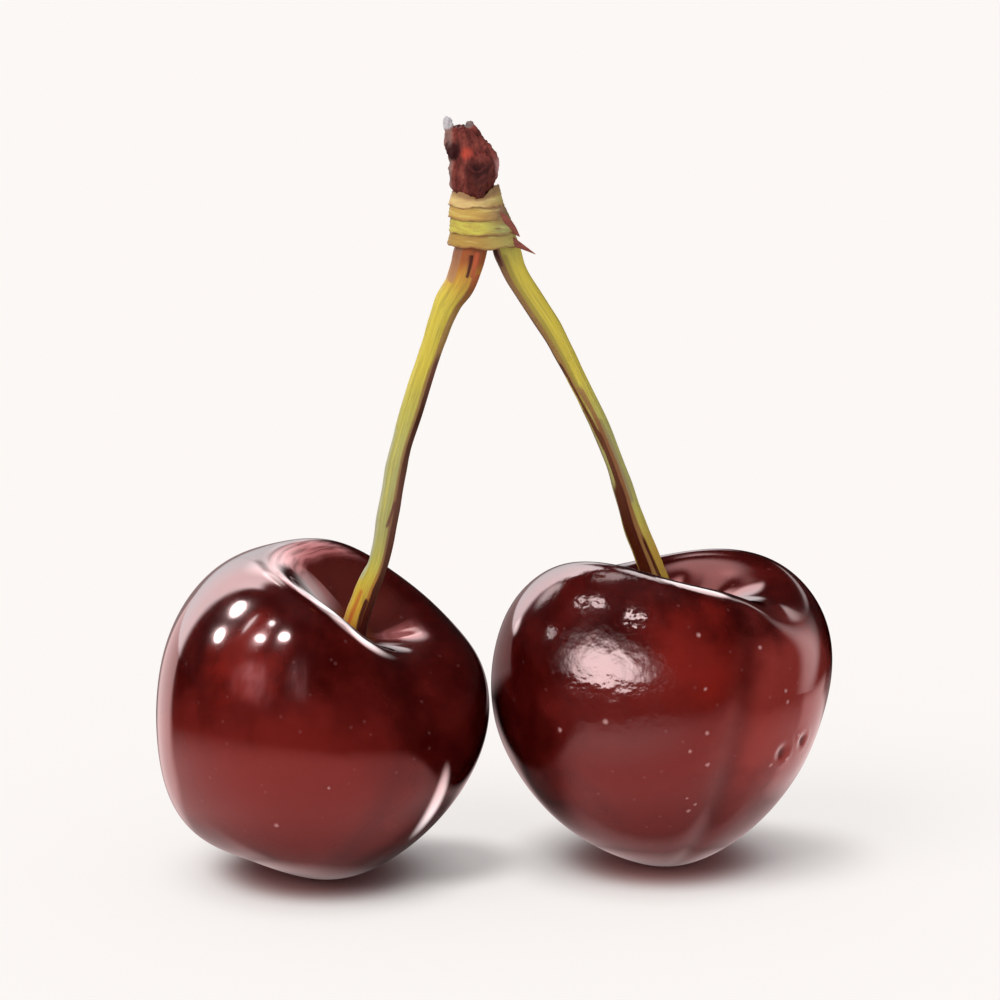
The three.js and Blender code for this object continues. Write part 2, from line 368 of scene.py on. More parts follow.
def skin_material(name, fruit, ripeness_and_painted_light, specks, peel_places, pale_gloss):
    """Cherry skin: near-black red, clouded with clearer red, under a hard clear gloss.
    Some of the clearer red is painted light, and some pale specks are painted sparkle highlights.

    Rows give azimuth, polar, then for the tone patches: inner and outer reach (mm), peak, tone; specks:
    radius;
    peel_places: inner and outer reach, peak; pale_gloss: inner and outer reach.
    """
    material = bpy.data.materials.new(name)
    n = Nodes(material)
    shader = n.node("Principled BSDF")
    stalk_end = n.attribute("stalk_end")
    colour = n.blend(n.span(n.noise(130, 4, 0.6), 0.38, 0.72), DARK_SKIN, CLOUDED_SKIN)
    cloud = n.warped(260, 4.5)
    # Patches of tone by place: some are the fruit's own redder skin, some are painted light.
    for azimuth, polar, inner, outer, peak, tone in ripeness_and_painted_light:
        place = skin_place(fruit, math.radians(polar), math.radians(azimuth))
        colour = n.blend(n.near(place, inner, outer, peak, cloud), colour, tone)
    mottle = n.span(n.noise(420, 5, 0.65), 0.42, 0.8, 0, 0.3)
    colour = n.blend(mottle, colour, BRICK_SKIN)
    # Painted light: the skin near the stalk end is made lighter red to stand for the sheen inside the cavity.
    colour = n.blend(n.span(stalk_end, 0.88, 0.985, 0, 0.8), colour, CAVITY_SHEEN)
    colour = n.blend(n.span(stalk_end, 0.988, 0.999, 0, 0.8), colour, STALK_STAIN)
    colour = n.blend(n.times(n.attribute("suture"), fruit["suture_tone"]), colour, SUTURE_SKIN)
    pores = n.add("TexVoronoi", {"Vector": n.place, "Scale": 640}).outputs["Distance"]
    colour = n.blend(n.span(pores, 0.04, 0.13, 0.07, 0), colour, PALE_SPECK)
    ragged = n.warped(2500, 0.12)
    # Pale specks at listed places: lenticels, and some of them painted sparkle highlights.
    for azimuth, polar, radius in specks:
        place = skin_place(fruit, math.radians(polar), math.radians(azimuth))
        colour = n.blend(n.near(place, 0.1 * radius, 1.1 * radius, 0.75, ragged), colour, PALE_SPECK)
    for azimuth, polar, *_ in fruit["pits"]:
        place = skin_place(fruit, math.radians(polar), math.radians(azimuth))
        colour = n.blend(n.near(place, 0.1, 0.75, 0.9, ragged), colour, SUTURE_SKIN)
    peel = SKIN_PEEL
    for azimuth, polar, inner, outer, peak in peel_places:
        place = skin_place(fruit, math.radians(polar), math.radians(azimuth))
        peel = n.most(peel, n.near(place, inner, outer, peak))
    dimples = n.bump(n.noise(1150, 2, 0.45), 0.05 * MM, peel)
    gloss = SKIN_TINT
    for azimuth, polar, inner, outer in pale_gloss:
        place = skin_place(fruit, math.radians(polar), math.radians(azimuth))
        gloss = n.blend(n.near(place, inner, outer, 0.85), gloss, PALE_TINT)
    n.set(
        shader,
        Base_Color=colour,
        Roughness=n.span(n.noise(300, 3), 0.3, 0.7, 0.10, 0.16),
        IOR=1.7,
        Specular_IOR_Level=0.8,
        Specular_Tint=gloss,
        Coat_Weight=1.0,
        Coat_Roughness=0.045,
        Coat_IOR=1.5,
        Subsurface_Weight=0.15,
        Subsurface_Radius=(2.5, 0.6, 0.4),
        Subsurface_Scale=MM,
        Normal=dimples,
        Coat_Normal=dimples,
    )
    return material


cherry_left = finish_piece(
    fruit_mesh(LEFT_FRUIT),
    "cherry_left_fruit",
    skin_material(
        "left_skin",
        LEFT_FRUIT,
        ripeness_and_painted_light=[
            # The two brick rows are partly the skin's own redder lower half, partly painted light from the
            # bright table below; the bright row is a painted red glow round the highlights.
            (-30, 100, 5, 12, 0.9, BRICK_SKIN),
            (-70, 108, 3, 9, 0.8, BRICK_SKIN),
            (-71, 63, 1, 5.0, 0.7, BRIGHT_SKIN),
        ],
        specks=[(-33, 109, 0.28), (-22, 87, 0.18)],
        peel_places=[],
        pale_gloss=[(-71, 60, 4, 8)],
    ),
)
cherry_right = finish_piece(
    fruit_mesh(RIGHT_FRUIT),
    "cherry_right_fruit",
    skin_material(
        "right_skin",
        RIGHT_FRUIT,
        ripeness_and_painted_light=[
            # The brick row is partly the skin's own redder lower half, partly painted light from the bright
            # table below.
            (-25, 98, 4, 13, 0.75, BRICK_SKIN),
            (24, 78, 4, 10, 0.95, FLUSHED_SKIN),
            (-17, 64, 1, 6.0, 0.75, BRIGHT_SKIN),
        ],
        pale_gloss=[(-48, 64, 6, 11)],
        # These pale specks are partly lenticels, partly painted sparkle highlights.
        specks=[
            (-63, 88, 0.26), (-46, 83, 0.28), (-17, 55, 0.24), (-17, 90, 0.2), (-10, 95, 0.24),
            (-13, 115, 0.24), (17, 71, 0.22), (18, 75, 0.22), (8, 57, 0.24), (-14, 71, 0.2), (-12, 84, 0.24),
            (24, 96, 0.26), (16, 97, 0.24), (27, 88, 0.22), (-11, 112, 0.2), (-15, 109, 0.16),
        ],
        peel_places=[(-45, 62, 4, 10, 1.0)],
    ),
)
for side, fruit in (("left", cherry_left), ("right", cherry_right)):
    fruit.visible_glossy = False  # neither fruit mirrors the other
    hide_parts(f"cherry_{side}")

# ---- The stalks ----
# Springy green stems that the fruits hung by, thicker at both ends. Sun and age have turned
# one side of each brown-red. Each enters its cavity and spreads a little where it joins.

STALK_SIDES = 48
STALK_STEPS = 260
END_ROUNDING = 60
# Each station is (x, y, z, radius) in millimetres, from the collar down to the cavity.
LEFT_STALK = [
    (-1.7, -0.1, 52.0, 1.0),
    (-1.85, -0.3, 50.55, 1.25),
    (-2.56, -0.41, 48.1, 1.2),
    (-3.77, -0.54, 46.0, 1.05),
    (-4.91, -0.78, 42.8, 0.86),
    (-6.24, -1.15, 38.7, 0.9),
    (-7.51, -1.55, 34.4, 0.82),
    (-8.3, -1.95, 30.2, 0.86),
    (-9.03, -2.26, 26.3, 0.79),
    (-10.02, -2.43, 23.8, 0.92),
    (-10.86, -2.54, 21.4, 0.97),
    (-11.3, -2.55, 19.5, 1.15),
]
RIGHT_STALK = [
    (0.4, 0.7, 52.0, 0.8),
    (0.85, 0.9, 50.5, 1.06),
    (1.88, 0.95, 47.9, 0.92),
    (4.32, 1.07, 44.0, 0.88),
    (6.29, 1.23, 40.1, 0.72),
    (8.19, 1.41, 36.1, 0.73),
    (9.71, 1.59, 32.1, 0.74),
    (10.93, 1.77, 28.1, 0.92),
    (12.25, 1.91, 24.6, 0.98),
    (12.95, 1.98, 22.8, 0.98),
    (13.75, 2.08, 20.8, 1.0),
    (14.05, 2.12, 19.4, 1.15),
]


def along_line(stations, share):
    """The station (x, y, z, radius) at a share of the way along, on a smooth curve."""
    place = min(max(share, 0), 1) * (len(stations) - 1)
    index = min(int(place), len(stations) - 2)
    t = place - index
    before, start, end, after = (
        Vector(stations[min(max(index + step, 0), len(stations) - 1)]) for step in (-1, 0, 1, 2)
    )
    rounding = 2 * before - 5 * start + 4 * end - after
    easing = 3 * start - before - 3 * end + after
    return 0.5 * (2 * start + (end - before) * t + rounding * t**2 + easing * t**3)


def add_bar(bm, stations, sides, steps, relief=None, flatness=1.0, streaks=()):
    """Rolls a grid round a line of stations in millimetres into a bar closed at both ends."""
    around = bm.verts.layers.float_vector.get("around") or bm.verts.layers.float_vector.new("around")
    streak = bm.verts.layers.float_vector.get("streak") or bm.verts.layers.float_vector.new("streak")
    made = bmesh.ops.create_grid(bm, x_segments=sides, y_segments=steps, size=1)["verts"]
    for vert in made:
        angle = math.pi * vert.co.x
        share = (vert.co.y + 1) / 2
        centre = along_line(stations, share)
        tangent = (along_line(stations, share + 0.01) - along_line(stations, share - 0.01)).xyz
        right = tangent.cross(Vector((0, 1, 0))).normalized()
        front = right.cross(tangent).normalized()
        closing = math.sqrt(max(0, 1 - abs(2 * share - 1) ** END_ROUNDING))
        radius = (centre.w + (relief(angle, share) if relief else 0)) * closing
        outward = right * math.sin(angle) - front * math.cos(angle) * flatness
        vert[around] = Vector((math.sin(angle), math.cos(angle), share))
        marks = [[mark(angle, share) for own_tone, mark in streaks if own_tone == tone] for tone in range(3)]
        vert[streak] = [max(strengths, default=0) for strengths in marks]
        vert.co = (centre.xyz + outward * radius) * MM
    bmesh.ops.remove_doubles(bm, verts=made, dist=1e-7)
    bmesh.ops.recalc_face_normals(bm, faces=bm.faces)


def stalk_relief(angle, share):
    ribs = 0.025 * math.cos(5 * angle + 7 * share) + 0.012 * math.cos(11 * angle - 5 * share)
    return ribs + 0.06 * noise.noise(Vector((math.sin(angle), math.cos(angle), 22 * share)))


def streak_mark(tone, start, end, start_angle, end_angle, width, peak):
    """A streak down part of a stalk, in one of three tones. Angle 0 faces front, 90 right."""

    def mark(angle, share):
        run = (share - start) / (end - start)
        middle = math.radians(start_angle + (end_angle - start_angle) * run)
        aside = math.degrees(math.atan2(math.sin(angle - middle), math.cos(angle - middle)))
        fading = smooth_step(run, -0.05, 0.06) * smooth_step(run, 1.05, 0.94)
        return peak * fading * smooth_step(abs(aside), width + 12, width - 10)

    return tone, mark


def stalk_material(name, body_stops, tone_stops):
    """Stem skin: colours that change down its length, three tones of streak and fine fibres."""
    material = bpy.data.materials.new(name)
    n = Nodes(material)
    shader = n.node("Principled BSDF")
    around = n.attribute("around", "Vector")
    fibres = n.noise(2.4, 4, 0.6, n.vector("MULTIPLY", around, (1.5, 1.5, 4)))
    strands = n.noise(3.6, 3, 0.55, n.vector("MULTIPLY", around, (1.5, 1.5, 2.4)))
    fine = n.noise(9, 3, 0.6, n.vector("MULTIPLY", around, (1.5, 1.5, 2.2)))
    blots = n.noise(6, 3, 0.5, n.vector("MULTIPLY", around, (1, 1, 9)))
    share = n.add("SeparateXYZ", {0: around}).outputs[2]
    down = n.math("MULTIPLY_ADD", fibres, 0.05, n.math("SUBTRACT", share, 0.025))
    colour = n.ramp(down, body_stops)
    greener = n.span(share, 0.12, 0.22)
    colour = n.blend(n.times(greener, n.span(strands, 0.52, 0.68, 0, 0.5)), colour, STEM_BRIGHT)
    colour = n.blend(n.times(greener, n.span(strands, 0.47, 0.33, 0, 0.55)), colour, STEM_OLIVE)
    colour = n.blend(n.span(fine, 0.45, 0.75, 0, 0.35), colour, STEM_FIBRE)
    colour = n.blend(n.span(blots, 0.6, 0.8, 0, 0.35), colour, STEM_BLOT)
    marks = n.add("SeparateXYZ", {0: n.attribute("streak", "Vector")}).outputs
    for tone in (2, 1, 0):
        ragged = n.math("MULTIPLY_ADD", strands, 0.9, n.math("SUBTRACT", marks[tone], 0.45))
        streak = n.span(ragged, 0.2, 0.7, 0, STREAK_PEAKS[tone])
        colour = n.blend(streak, colour, n.ramp(down, tone_stops[tone]))
    n.set(
        shader,
        Base_Color=colour,
        Roughness=n.span(fibres, 0.3, 0.7, 0.34, 0.5),
        Specular_IOR_Level=0.6,
        Subsurface_Weight=0.12,
        Subsurface_Radius=(0.6, 0.5, 0.2),
        Subsurface_Scale=MM,
        Normal=n.bump(n.math("ADD", fine, strands), 0.12 * MM, 0.5),
    )
    return material


STREAK_PEAKS = (0.97, 0.9, 0.8)
RUST = (0.36, 0.085, 0.02)
STEM_GOLD = (0.60, 0.36, 0.035)
STEM_YELLOW = (0.64, 0.52, 0.05)
STEM_GREEN = (0.42, 0.41, 0.14)
STEM_LIME = (0.52, 0.48, 0.09)
STEM_ORANGE = (0.56, 0.24, 0.03)
STEM_BRIGHT = (0.76, 0.64, 0.09)
STEM_OLIVE = (0.37, 0.30, 0.05)
STEM_BROWN = (0.15, 0.036, 0.012)
STEM_MAROON = (0.085, 0.014, 0.007)
STEM_CLARET = (0.085, 0.005, 0.002)
STEM_UMBER = (0.20, 0.07, 0.045)
STEM_AMBER = (0.74, 0.42, 0.035)
STEM_ROSE = (0.28, 0.13, 0.075)
STEM_TAN = (0.36, 0.19, 0.06)
STEM_RUSSET = (0.26, 0.08, 0.026)
STEM_FLAME = (0.62, 0.11, 0.035)
STEM_FOOT = (0.13, 0.02, 0.004)
STEM_FIBRE = (0.30, 0.20, 0.045)
STEM_BLOT = (0.30, 0.10, 0.03)
STEM_PINK = (0.46, 0.22, 0.10)
STEM_GREY = (0.46, 0.46, 0.26)
STEM_MOSS = (0.30, 0.23, 0.035)
STEM_DRAB = (0.30, 0.22, 0.11)
LEFT_STREAKS = [
    streak_mark(0, 0.10, 0.165, 3, 10, 6, 1.0),
    streak_mark(0, 0.37, 1.02, 66, 56, 32, 1.0),
    streak_mark(0, 0.62, 0.67, 26, 2, 6, 1.0),
    streak_mark(0, 0.84, 1.02, 12, 18, 9, 0.9),
    streak_mark(1, 0.09, 0.16, 24, 26, 8, 1.0),
    streak_mark(1, 0.15, 0.42, 66, 58, 34, 1.0),
    streak_mark(1, 0.38, 0.86, 30, 22, 12, 0.9),
    streak_mark(1, 0.78, 1.02, 36, 44, 22, 1.0),
    streak_mark(1, 0.82, 1.02, -28, -40, 8, 0.9),
    streak_mark(2, 0.06, 0.2, -62, -58, 24, 1.0),
    streak_mark(2, 0.50, 0.80, -70, -70, 22, 0.8),
]
RIGHT_STREAKS = [
    streak_mark(0, 0.02, 0.14, -64, -58, 18, 1.0),
    streak_mark(0, 0.12, 0.36, -84, -80, 16, 0.9),
    streak_mark(0, 0.33, 0.50, -58, -22, 13, 1.0),
    streak_mark(0, 0.46, 0.62, -20, -14, 13, 1.0),
    streak_mark(0, 0.56, 1.02, -26, -44, 30, 1.0),
    streak_mark(0, 0.66, 1.02, 22, 34, 7, 0.9),
    streak_mark(1, 0.05, 0.40, -52, -46, 24, 1.0),
    streak_mark(1, 0.38, 0.66, -2, 10, 14, 0.9),
    streak_mark(1, 0.62, 1.02, 6, 12, 16, 1.0),
    streak_mark(2, 0.10, 0.42, -12, -14, 10, 1.0),
    streak_mark(2, 0.42, 0.62, -72, -66, 16, 1.0),
    streak_mark(2, 0.44, 0.60, 22, 30, 14, 0.8),
]

left_stem = stalk_material(
    "left_stem",
    [
        (0.06, RUST), (0.12, RUST), (0.155, STEM_ORANGE), (0.20, STEM_GOLD), (0.27, STEM_YELLOW),
        (0.40, STEM_YELLOW), (0.48, STEM_LIME), (0.56, STEM_GREEN), (0.68, STEM_GREEN), (0.74, STEM_LIME),
        (0.79, STEM_YELLOW), (0.88, STEM_AMBER), (0.96, STEM_ORANGE),
    ],
    (
        [
            (0.10, STEM_MAROON), (0.40, STEM_UMBER), (0.48, STEM_MAROON), (0.62, STEM_UMBER),
            (0.9, STEM_CLARET),
        ],
        [
            (0.12, STEM_FLAME), (0.2, STEM_RUSSET), (0.3, STEM_TAN), (0.5, STEM_TAN), (0.7, STEM_ROSE),
            (0.8, STEM_ORANGE), (0.95, STEM_FLAME),
        ],
        [(0.1, STEM_ROSE), (0.2, STEM_PINK), (0.5, STEM_GREY)],
    ),
)
right_stem = stalk_material(
    "right_stem",
    [
        (0.06, STEM_LIME), (0.16, STEM_YELLOW), (0.36, STEM_YELLOW), (0.42, STEM_LIME), (0.48, STEM_GREEN),
        (0.56, STEM_GREEN), (0.62, STEM_LIME), (0.70, STEM_GOLD), (0.85, STEM_GOLD), (0.97, STEM_FOOT),
    ],
    (
        [(0.10, STEM_MAROON), (0.16, STEM_ROSE), (0.34, STEM_BROWN), (0.50, STEM_BROWN), (0.62, STEM_CLARET)],
        [(0.10, STEM_ROSE), (0.38, STEM_TAN), (0.46, STEM_RUSSET), (0.6, STEM_RUSSET), (0.75, STEM_TAN)],
        [(0.10, STEM_OLIVE), (0.40, STEM_MOSS), (0.5, STEM_DRAB)],
    ),
)
for side, stations, streaks, stem in (
    ("left", LEFT_STALK, LEFT_STREAKS, left_stem),
    ("right", RIGHT_STALK, RIGHT_STREAKS, right_stem),
):
    bm = bmesh.new()
    add_bar(bm, stations, STALK_SIDES, STALK_STEPS, stalk_relief, streaks=streaks)
    stalk = finish_piece(bm, f"stalk_{side}_stem", stem)
    stalk.visible_glossy = False  # the fruits' gloss doesn't mirror the stalks
    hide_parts(f"stalk_{side}")

# ---- The bud scales ----
# Old bud scales left round the stalk tops: four thin leathery rings, each grown over the foot
# of the one above, dried to yellow and brown, with two torn tips on the right.

SPUR_BASE = Vector((-0.96, 0.3, 50.85))
COLLAR_DEPTH_RATIO = 0.8
SCALE_AROUND = 150
SCALE_LOOP = 36
SCALE_THICKNESS = 0.16
SCALE_OVERLAP = 0.3
COLLAR_TOP = 4.35
# Each ring is (foot height, radius at the foot, radius at the head, shift to the right).
SCALE_BANDS = [
    (0, 2.66, 2.35, 0),
    (1.35, 2.56, 2.1, 0.02),
    (2.45, 2.3, 1.9, -0.3),
    (3.45, 2.1, 1.75, -0.5),
]
TAIL = [(1.2, -0.7, 0.9, 0.2), (2.0, -0.75, 0.45, 0.42), (2.9, -0.6, 0.0, 0.24), (4.15, -0.4, -0.75, 0.02)]
TOOTH = [(1.25, -1.0, 2.75, 0.12), (1.7, -1.0, 2.15, 0.34), (2.3, -0.85, 1.4, 0.32), (2.9, -0.7, 0.72, 0.03)]
TORN_FLATNESS = 0.55
# How the topmost margin dips and rises: (azimuth, spread, lift).
COLLAR_NOTCH = (-84, 24, -0.55)
COLLAR_RISE = (-22, 42, 0.5)


def add_scale_ring(bm, index):
    """One scale: a thin closed band whose outer face, margin and hidden inner face are a loop."""
    ring = bm.verts.layers.float_vector.get("ring") or bm.verts.layers.float_vector.new("ring")
    foot, foot_radius, head_radius, shift = SCALE_BANDS[index]
    is_top = index == len(SCALE_BANDS) - 1
    head = COLLAR_TOP if is_top else SCALE_BANDS[index + 1][0] + SCALE_OVERLAP
    next_shift = shift if is_top else SCALE_BANDS[index + 1][3]
    foot -= SCALE_OVERLAP if index else 0
    made = bmesh.ops.create_grid(bm, x_segments=SCALE_AROUND, y_segments=SCALE_LOOP, size=1)["verts"]
    for vert in made:
        angle = math.pi * vert.co.x
        loop = math.pi * (vert.co.y + 1)
        up = (1 - math.cos(loop)) / 2
        outer = math.sin(loop)
        side = Vector((math.cos(angle), math.sin(angle), 0))
        waver = noise.noise(side * 1.7 + Vector((0, 0, 7 * index)))
        frill = noise.noise(side * 5 + Vector((0, 0, 7 * index + 3)))
        margin = (1 - up) ** 3
        radius = foot_radius + (head_radius - foot_radius) * up**0.8
        radius += SCALE_THICKNESS * 0.5 * outer + 0.06 * margin * (1 + waver)
        radius += 0.05 * noise.noise(side * 3 + Vector((0, 0, 9 * up + 5 * index)))
        radius += 0.018 * math.sin(34 * up + 3 * waver)
        height = foot + (head - foot) * up + margin * (0.22 * waver + 0.10 * frill)
        if is_top:
            for facing, spread, lift in (COLLAR_NOTCH, COLLAR_RISE):
                aside = math.degrees(angle) - facing
                height += lift * bell(aside, spread) * up**2
            height += 0.12 * frill * up**2
        place = side * radius
        place.x += shift + (next_shift - shift) * up
        place.y *= COLLAR_DEPTH_RATIO
        place.z = height
        vert[ring] = Vector((angle / math.pi, up, index / (len(SCALE_BANDS) - 1)))
        vert.co = (place + SPUR_BASE) * MM
    bmesh.ops.remove_doubles(bm, verts=made, dist=1e-7)


SCALE_TONES = [
    (0.0, (0.44, 0.27, 0.055)), (0.33, (0.58, 0.52, 0.075)),
    (0.67, (0.56, 0.36, 0.08)), (1.0, (0.66, 0.46, 0.18)),
]
SCALE_TONES_SHADED = [
    (0.0, (0.42, 0.38, 0.10)), (0.33, (0.26, 0.26, 0.11)),
    (0.67, (0.21, 0.12, 0.09)), (1.0, (0.42, 0.36, 0.10)),
]
SCALE_FIBRE = (0.36, 0.17, 0.05)
SCALE_STRAW = (0.72, 0.62, 0.20)
SCALE_BLOT = (0.24, 0.12, 0.06)
SCALE_UNDER_SHADE = (0.24, 0.11, 0.05)
SCALE_MARGIN = (0.22, 0.06, 0.028)
TORN_RUST = (0.36, 0.11, 0.07)
TORN_DARK = (0.17, 0.025, 0.018)


def scale_material():
    """Dry leathery scale: a tone for each ring, brown margins, painted shade towards the right and under each
    ring's upper neighbour.
    """
    material = bpy.data.materials.new("dry_scale")
    n = Nodes(material)
    shader = n.node("Principled BSDF")
    parts = n.add("SeparateXYZ", {0: n.attribute("ring", "Vector")}).outputs
    up, index = parts[1], parts[2]
    fibres = n.noise(1, 4, 0.6, n.vector("MULTIPLY", n.place, (500, 500, 3200)))
    blots = n.noise(900, 4, 0.55)
    colour = n.ramp(index, SCALE_TONES)
    # Painted shade: the right side of each ring is darker, away from the light.
    place_x = n.add("SeparateXYZ", {0: n.warped(500, 0.5)}).outputs[0]
    right = n.span(place_x, -1.6 * MM, 0.9 * MM)
    colour = n.blend(n.times(right, 0.8), colour, n.ramp(index, SCALE_TONES_SHADED))
    colour = n.blend(n.span(fibres, 0.42, 0.68, 0, 0.5), colour, SCALE_FIBRE)
    colour = n.blend(n.span(fibres, 0.45, 0.32, 0, 0.45), colour, SCALE_STRAW)
    colour = n.blend(n.span(blots, 0.55, 0.75, 0, 0.5), colour, SCALE_BLOT)
    # Painted shade: each ring turns darker towards its top, under the margin of the ring above.
    under_band_shade = n.math("ADD", up, n.math("MULTIPLY_ADD", blots, 0.3, -0.15))
    colour = n.blend(n.span(under_band_shade, 0.45, 0.82, 0, 0.75), colour, SCALE_UNDER_SHADE)
    ragged_margin = n.span(blots, 0.35, 0.6, 0.4, 1)
    margin = n.math("ADD", up, n.math("MULTIPLY_ADD", blots, 0.24, -0.12))
    edge = n.times(n.span(margin, 0.02, 0.14, 0.85, 0), ragged_margin)
    colour = n.blend(edge, colour, SCALE_MARGIN)
    torn = n.span(n.vector("LENGTH", n.attribute("around", "Vector"), output=1), 0.3, 0.6)
    colour = n.blend(torn, colour, n.blend(fibres, TORN_RUST, TORN_DARK))
    n.set(
        shader,
        Base_Color=colour,
        Roughness=0.55,
        Subsurface_Weight=0.08,
        Subsurface_Radius=(0.4, 0.25, 0.1),
        Subsurface_Scale=MM,
        Normal=n.bump(fibres, 0.08 * MM, 0.6),
    )
    return material


def above_base(stations):
    """Stations given from the spur's base, put where they stand."""
    return [(*(Vector((x, y, z)) + SPUR_BASE), radius) for x, y, z, radius in stations]


bm = bmesh.new()
for index in range(len(SCALE_BANDS)):
    add_scale_ring(bm, index)
# A plain core fills the rings, so that no gap opens onto nothing between them.
core = Matrix.Translation((SPUR_BASE + Vector((-0.2, 0, 2.3))) * MM)
core = core @ Matrix.Diagonal((1, COLLAR_DEPTH_RATIO, 1, 1))
bmesh.ops.create_cone(
    bm, cap_ends=True, segments=48, radius1=2.2 * MM, radius2=1.6 * MM, depth=3.4 * MM, matrix=core
)
for stations in (TAIL, TOOTH):
    add_bar(bm, above_base(stations), 20, 40, flatness=TORN_FLATNESS)
bmesh.ops.recalc_face_normals(bm, faces=bm.faces)
collar = finish_piece(bm, "bud_scales", scale_material())
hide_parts("bud_scale_collar")

# ---- The spur tip ----
# The woody end of the fruiting spur: rough red-brown bark with a large dark bud facing front,
# a small one on the left, and a grey papery scale and a dry knob at the very top.

WOOD_VOXEL = 0.075
WOOD = [
    (-0.75, 0, 3.9, 1.45),
    (-0.76, 0, 4.5, 1.72),
    (-0.79, 0, 5.03, 1.84),
    (-0.72, 0, 6.13, 2.04),
    (-0.9, 0, 6.81, 1.86),
    (-1.06, 0, 7.21, 1.74),
    (-1.36, 0, 7.84, 1.56),
    (-1.66, 0, 8.6, 1.42),
    (-1.84, 0, 9.0, 1.14),
    (-1.9, 0, 9.36, 0.75),
]
WOOD_FLATNESS = 0.82
CRACK_WIDTH = 0.3
BIG_BUD = {"at": (-0.15, -1.15, 5.55), "half": (1.2, 0.85, 2.0), "turn": 6}
SMALL_BUD = {"at": (-2.3, -0.7, 7.55), "half": (0.55, 0.6, 0.78), "turn": -10}
PAPER_TIP = {"at": (-2.65, 0, 9.35), "half": (0.4, 0.28, 0.85), "turn": -12}
DRY_KNOB = {"at": (-1.0, 0, 9.45), "half": (0.33, 0.3, 0.3), "turn": 0}


def add_bud(bm, bud, point_down=0.0, scales=0.0):
    made = bmesh.ops.create_uvsphere(bm, u_segments=48, v_segments=32, radius=1)["verts"]
    turn = Matrix.Rotation(math.radians(bud["turn"]), 3, "Y")
    for vert in made:
        x, y, z = vert.co
        narrowing = 1 - point_down * max(0, -z) ** 1.5
        angle = math.atan2(y, x)
        tier = (1.6 * z + 0.25 * math.cos(3 * angle)) % 1
        swell = 1 + scales * (tier - 0.5)
        shaped = Vector((x * narrowing * swell, y * narrowing * swell, z))
        shaped = Vector(size * part for size, part in zip(bud["half"], shaped))
        vert.co = (turn @ shaped + Vector(bud["at"]) + SPUR_BASE) * MM


def fused(bm):
    """Grows overlapping closed forms into one skin, as live wood does."""
    mesh = bpy.data.meshes.new("overlapping_forms")
    bm.to_mesh(mesh)
    bm.free()
    draft = bpy.data.objects.new("overlapping_forms", mesh)
    bpy.context.scene.collection.objects.link(draft)
    remesh = draft.modifiers.new("fuse", "REMESH")
    remesh.mode = "VOXEL"
    remesh.voxel_size = WOOD_VOXEL * MM
    shaped = draft.evaluated_get(bpy.context.evaluated_depsgraph_get())
    whole = bmesh.new()
    whole.from_mesh(bpy.data.meshes.new_from_object(shaped))
    bpy.data.objects.remove(draft)
    return whole


def roughen_bark(bm):
    bmesh.ops.smooth_vert(bm, verts=bm.verts, factor=0.5, use_axis_x=True, use_axis_y=True, use_axis_z=True)
    bm.normal_update()
    for vert in bm.verts:
        place = vert.co / MM
        ridges = noise.noise(Vector((1.6 * place.x, 1.6 * place.y, 0.7 * place.z)))
        cracks = abs(noise.noise(Vector((2.8 * place.x, 2.8 * place.y, 1.1 * place.z))))
        grain = noise.noise(place * 5)
        furrow = 1 - min(cracks, CRACK_WIDTH) / CRACK_WIDTH
        vert.co += vert.normal * (0.13 * ridges - 0.10 * furrow + 0.04 * grain) * MM


BUD_SCALE_EDGES = (0.75, 1.35, 1.95, 2.5)
BARK_TONES = [
    (0.3, (0.055, 0.008, 0.006)), (0.48, (0.17, 0.025, 0.018)),
    (0.62, (0.30, 0.06, 0.04)), (0.8, (0.42, 0.13, 0.09)),
]
BARK_EDGE_SHEEN = (0.30, 0.19, 0.16)
BARK_PALE = (0.38, 0.13, 0.10)
BARK_RIM_HIGHLIGHT = (0.55, 0.26, 0.25)
BARK_BLOT = (0.10, 0.02, 0.015)
BUD_RIDGE_HIGHLIGHT = (0.55, 0.06, 0.03)
BUD_OUTER = (0.11, 0.015, 0.01)
BUD_INNER = (0.035, 0.003, 0.003)
BUD_EDGE = (0.20, 0.03, 0.022)
BUD_GLINT = (0.35, 0.10, 0.03)
SMALL_BUD_TONE = (0.05, 0.004, 0.006)
PAPER_TONE = (0.52, 0.50, 0.52)
KNOB_TONE = (0.22, 0.17, 0.16)


